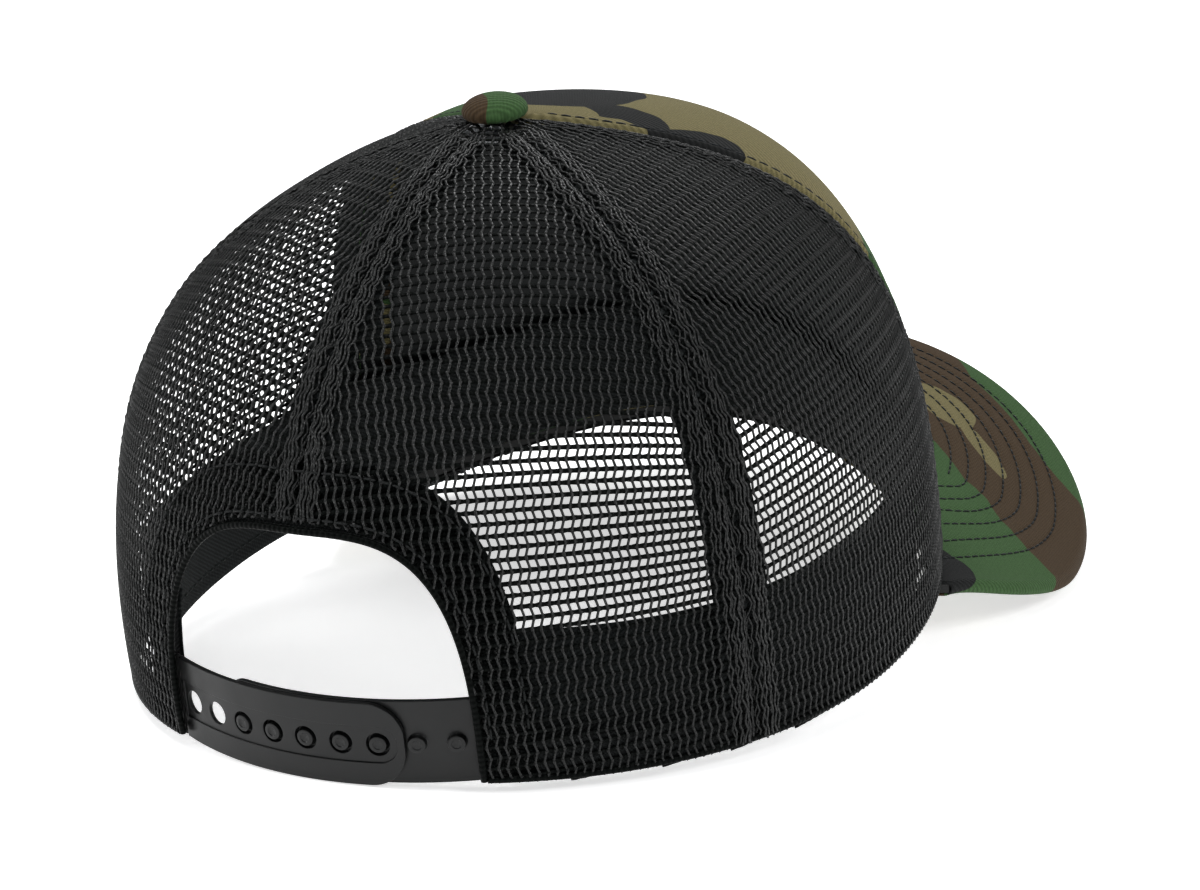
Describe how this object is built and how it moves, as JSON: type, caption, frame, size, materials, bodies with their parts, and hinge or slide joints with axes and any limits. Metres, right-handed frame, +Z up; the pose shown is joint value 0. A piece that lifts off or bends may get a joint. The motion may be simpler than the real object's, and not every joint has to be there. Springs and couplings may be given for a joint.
{
  "type": "trucker mesh cap",
  "caption": "Five-panel trucker cap with a stiff twill front, open mesh sides and back, a curved visor, a covered top button and a plastic snap strap across an arched back opening.",
  "frame": {"origin": "centre of the head opening, in the plane of the lowest parts of the rim", "axes": "-Y to the front of the cap, +X to the wearer's left, +Z up as the cap lies on a table on its visor and its back rim"},
  "size_m": [0.1886, 0.2797, 0.1288],
  "materials": {
    "camo_twill": "woven cotton twill in a green, khaki, brown and black camouflage",
    "mesh": "black polyester net with a satin sheen",
    "black_twill": "black woven twill",
    "stiff_lining": "charcoal fused stiffener",
    "strap_plastic": "satin black moulded plastic",
    "board_plastic": "matte plastic sheet",
    "steel": "plain pressed steel"
  },
  "bodies": {
    "cap": {"front_panel": "camo_twill", "front_lining": "stiff_lining", "mesh_side_left": "mesh", "mesh_side_right": "mesh", "mesh_rear_left": "mesh", "mesh_rear_right": "mesh", "tape_front_left": "black_twill", "tape_front_right": "black_twill", "tape_side_left": "black_twill", "tape_side_right": "black_twill", "tape_rear": "black_twill", "arch_fold": "mesh", "hem_left": "mesh", "hem_right": "mesh", "sweatband": "black_twill", "forehead_pad": "stiff_lining", "visor_board": "board_plastic", "visor_top": "camo_twill", "visor_under": "camo_twill", "button_core": "steel", "button_cover": "camo_twill", "button_rivet": "steel", "button_washer": "steel", "hole_strap_tab": "strap_plastic", "peg_strap_tab": "strap_plastic"},
    "hole_strap": {"hole_strap": "strap_plastic"},
    "peg_strap": {"peg_strap": "strap_plastic"}
  },
  "joints": [
    {"name": "hole_strap_swing", "type": "hinge", "parent": "cap", "child": "hole_strap", "pos_m": [0.03507, 0.09307, 0.0012], "axis": [0, -0.1582, -0.9874], "range_deg": [0, 38], "stiffness_Nm_per_rad": 0.02},
    {"name": "peg_strap_swing", "type": "hinge", "parent": "cap", "child": "peg_strap", "pos_m": [-0.03507, 0.09137, 0.00147], "axis": [0, -0.1582, -0.9874], "range_deg": [0, 40], "stiffness_Nm_per_rad": 0.02}
  ]
}
